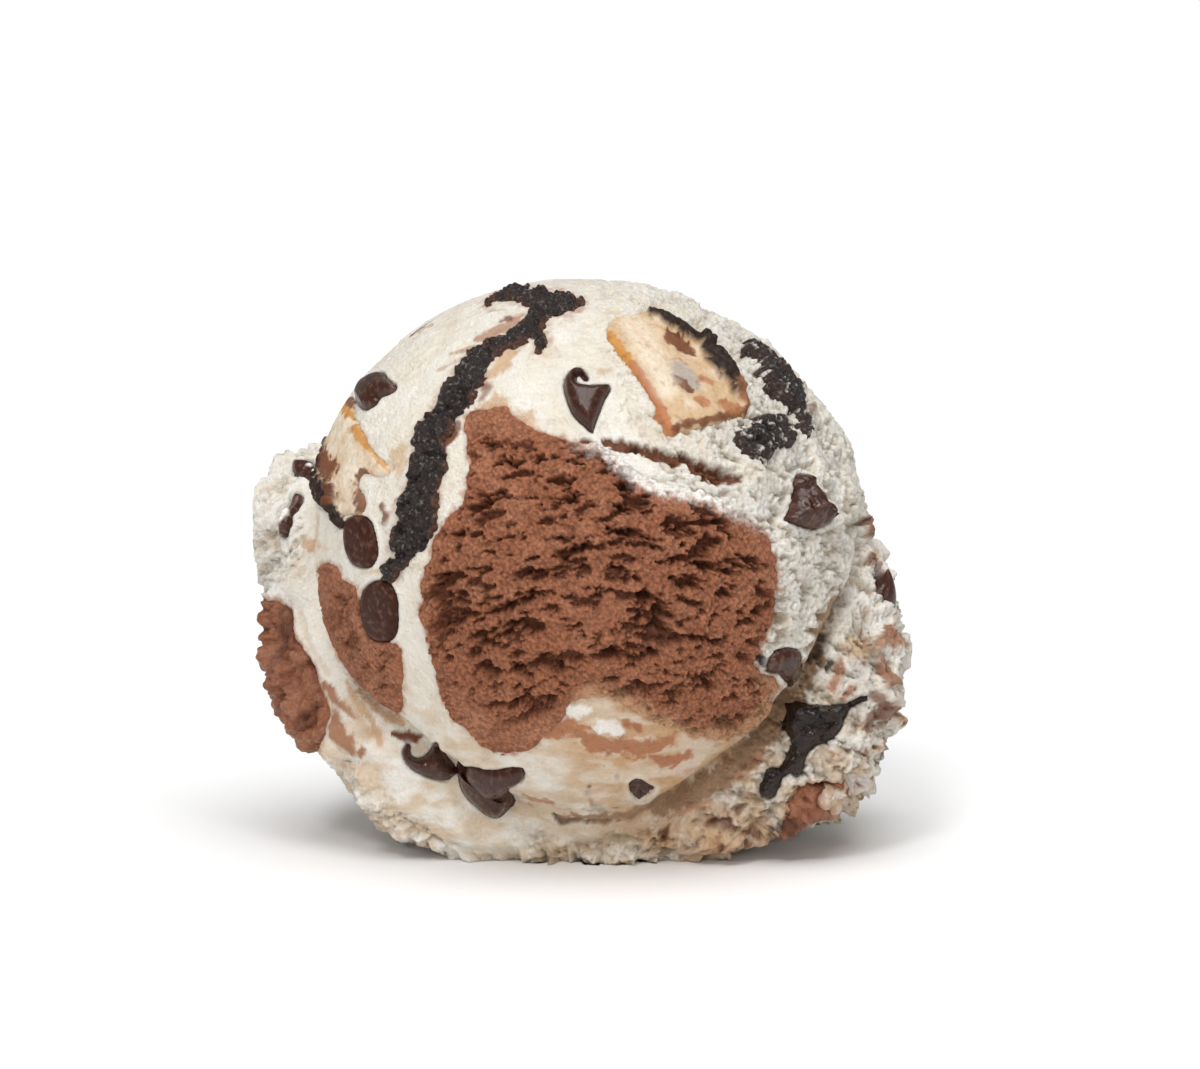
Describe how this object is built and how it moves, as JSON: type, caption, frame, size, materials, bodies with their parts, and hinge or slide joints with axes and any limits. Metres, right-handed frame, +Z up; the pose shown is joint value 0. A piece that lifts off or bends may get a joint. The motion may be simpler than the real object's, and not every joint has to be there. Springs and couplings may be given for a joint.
{
  "type": "scoop of ice cream",
  "caption": "Round scoop of marbled vanilla and chocolate ice cream with cookie pieces, fudge swirl and chocolate chips, resting on its ragged flat base.",
  "frame": {"origin": "middle of the flat spot that the scoop rests on", "axes": "+Z up; the chocolate patch faces -Y; +X is to the right seen from the front"},
  "size_m": [0.08, 0.0633, 0.0686],
  "materials": {
    "vanilla_ice_cream": "satin, frozen cream",
    "chocolate_ice_cream": "matt, torn",
    "dark_cookie": "damp crumb",
    "fudge": "gloss, wet",
    "biscuit": "matt, baked",
    "chip": "satin, frosted"
  },
  "bodies": {
    "root": {"biscuit_back": "biscuit", "biscuit_left": "biscuit", "biscuit_right": "biscuit", "chip_back_left": "chip", "chip_back_low": "chip", "chip_back_right": "chip", "chip_back_rim": "chip", "chip_back_upper": "chip", "chip_cone": "chip", "chip_curl": "chip", "chip_disc_lower": "chip", "chip_disc_upper": "chip", "chip_edge_right": "chip", "chip_horn": "chip", "chip_low_right": "chip", "chip_nub": "chip", "chip_pit": "chip", "chip_rim_cream": "chip", "chip_rim_top": "chip", "chip_shoulder": "chip", "chocolate_back": "chocolate_ice_cream", "chocolate_front": "chocolate_ice_cream", "chocolate_left": "chocolate_ice_cream", "chocolate_rim_left": "chocolate_ice_cream", "chocolate_rim_right": "chocolate_ice_cream", "cookie_swirl_back": "dark_cookie", "cookie_swirl_front": "dark_cookie", "cookie_swirl_lobe": "dark_cookie", "crumb_lump": "dark_cookie", "crumb_strip": "dark_cookie", "fudge_rim": "fudge", "vanilla_ice_cream": "vanilla_ice_cream"}
  },
  "joints": []
}
